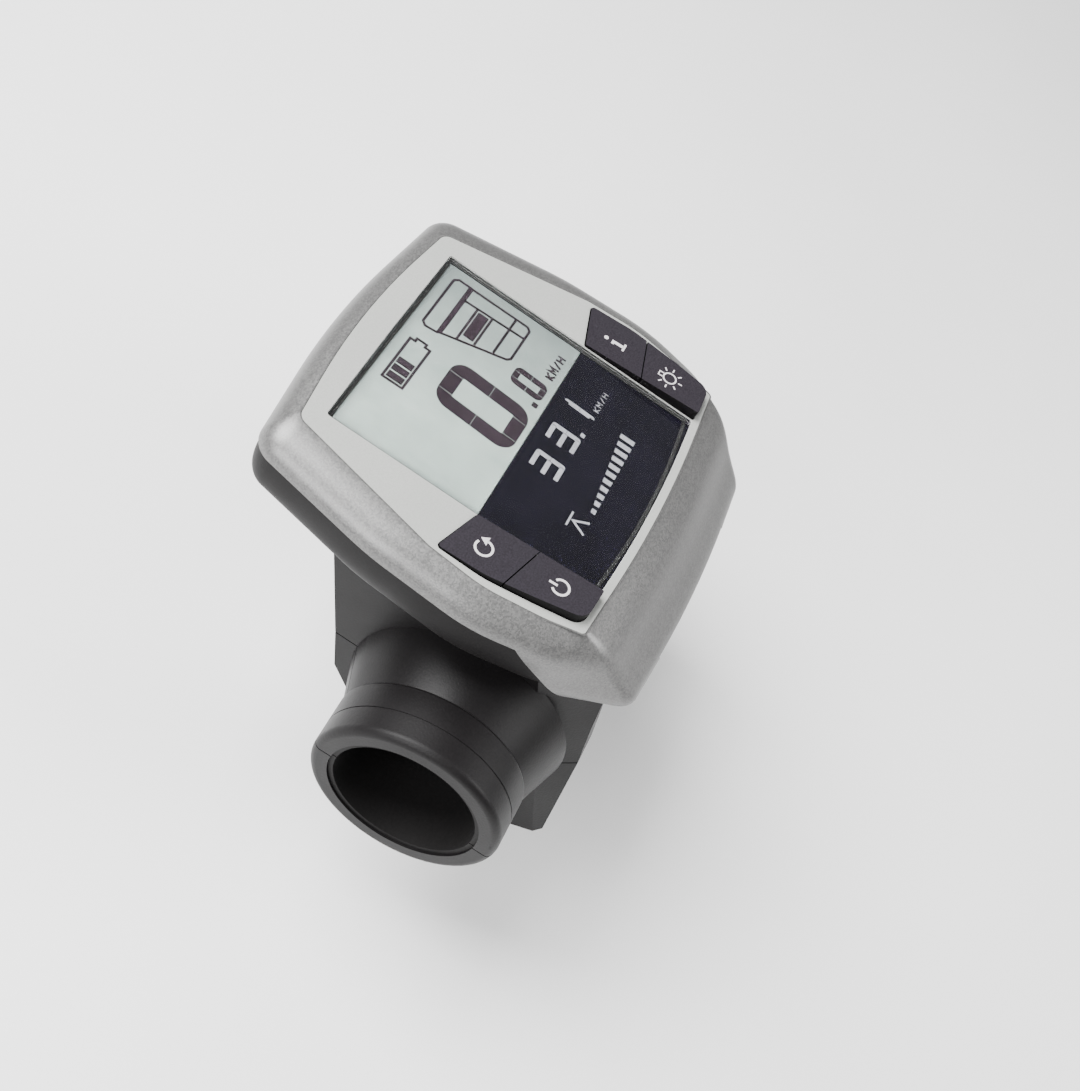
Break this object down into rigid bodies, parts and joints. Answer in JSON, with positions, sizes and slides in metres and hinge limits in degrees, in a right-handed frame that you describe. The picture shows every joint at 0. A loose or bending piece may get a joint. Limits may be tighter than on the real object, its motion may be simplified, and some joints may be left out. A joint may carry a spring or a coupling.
{
  "type": "cycling computer",
  "caption": "Handlebar cycling computer: silver display unit with keys beside a two-part screen, sliding onto a black dock with split bar clamps.",
  "frame": {"origin": "on the handlebar axis, midway between the two clamps", "axes": "+X to the rider's right along the bar, +Y forward, +Z the display window's outward normal; the whole part turns about the bar to set the display's tilt"},
  "size_m": [0.12, 0.0977, 0.079],
  "materials": {
    "silver_paint": "satin silver paint on plastic with fine metallic grain",
    "black_plastic": "matte moulded",
    "bezel_plastic": "smooth pale grey",
    "window_clear": "clear gloss",
    "lcd_glass": "grey-green reflective panel",
    "dark_display": "near-black panel",
    "key_plastic": "matte dark grey with printed marks",
    "dock_plastic": "matte grained moulding",
    "seal_rubber": "soft rubber",
    "liner_rubber": "soft rubber",
    "flap_rubber": "soft matte",
    "steel": "plated",
    "black_steel": "black oxide",
    "brass": "machined",
    "gold_contact": "gold plated",
    "circuit_board": "solder-mask green",
    "chip_plastic": "moulded",
    "cell_foil": "foil pouch",
    "ribbon": "amber film",
    "diffuser": "milky",
    "white_plastic": "moulded"
  },
  "bodies": {
    "dock": {"dock_body": "dock_plastic", "clamp_inserts_left": "brass", "clamp_inserts_right": "brass", "upper_liner_left": "liner_rubber", "upper_liner_right": "liner_rubber", "contact_carrier": "dock_plastic", "contact_barrels": "gold_contact", "contact_seal": "seal_rubber", "dock_cover": "dock_plastic", "cover_screws": "steel", "cable_gland": "liner_rubber", "latch_pin": "steel", "lock_screw": "steel", "latch_spring": "steel"},
    "display": {"front_shell": "silver_paint", "lower_shell": "black_plastic", "shell_seal": "seal_rubber", "shell_screws": "steel", "bezel": "bezel_plastic", "display_window": "window_clear", "lcd_panel": "lcd_glass", "lower_display": "dark_display", "light_guide": "diffuser", "lcd_tray": "white_plastic", "key_mat_left": "seal_rubber", "key_mat_right": "seal_rubber", "dome_switches": "steel", "main_board": "circuit_board", "board_chips": "chip_plastic", "buzzer": "chip_plastic", "battery_cell": "cell_foil", "usb_socket": "steel", "panel_ribbon": "ribbon", "contact_pads": "gold_contact", "pad_carrier": "dock_plastic", "flap_pin": "steel"},
    "reset_key": {"reset_button": "key_plastic"},
    "power_key": {"power_button": "key_plastic"},
    "info_key": {"info_button": "key_plastic"},
    "lamp_key": {"lamp_button": "key_plastic"},
    "socket_flap": {"usb_flap": "flap_rubber"},
    "release_latch": {"latch": "dock_plastic"},
    "spring_contacts": {"contact_pins": "gold_contact"},
    "left_cap": {"clamp_cap_left": "dock_plastic", "cap_screws_left": "black_steel", "lower_liner_left": "liner_rubber"},
    "right_cap": {"clamp_cap_right": "dock_plastic", "cap_screws_right": "black_steel", "lower_liner_right": "liner_rubber"}
  },
  "joints": [
    {"name": "display_slide", "type": "slide", "parent": "dock", "child": "display", "axis": [0, 1, 0], "range_m": [0, 0.045]},
    {"name": "reset_press", "type": "slide", "parent": "display", "child": "reset_key", "axis": [0, 0, -1], "range_m": [0, 0.0008], "stiffness_N_per_m": 1200, "springref_m": -0.0004},
    {"name": "power_press", "type": "slide", "parent": "display", "child": "power_key", "axis": [0, 0, -1], "range_m": [0, 0.0008], "stiffness_N_per_m": 1200, "springref_m": -0.0004},
    {"name": "info_press", "type": "slide", "parent": "display", "child": "info_key", "axis": [0, 0, -1], "range_m": [0, 0.0008], "stiffness_N_per_m": 1200, "springref_m": -0.0004},
    {"name": "lamp_press", "type": "slide", "parent": "display", "child": "lamp_key", "axis": [0, 0, -1], "range_m": [0, 0.0008], "stiffness_N_per_m": 1200, "springref_m": -0.0004},
    {"name": "flap_swing", "type": "hinge", "parent": "display", "child": "socket_flap", "pos_m": [0.0446, 0.02, 0.0389], "axis": [0, 1, 0], "range_deg": [0, 90]},
    {"name": "latch_press", "type": "hinge", "parent": "dock", "child": "release_latch", "pos_m": [0, -0.008, 0.028], "axis": [1, 0, 0], "range_deg": [0, 5], "stiffness_Nm_per_rad": 0.4, "springref_deg": -2.86, "deforming": ["latch_spring"]},
    {"name": "contacts_press", "type": "slide", "parent": "dock", "child": "spring_contacts", "axis": [0, 0, -1], "range_m": [0, 0.0006], "stiffness_N_per_m": 1500, "springref_m": -0.0006},
    {"name": "left_cap_lift", "type": "slide", "parent": "dock", "child": "left_cap", "axis": [0, 0, -1], "range_m": [0, 0.024]},
    {"name": "right_cap_lift", "type": "slide", "parent": "dock", "child": "right_cap", "axis": [0, 0, -1], "range_m": [0, 0.024]}
  ]
}
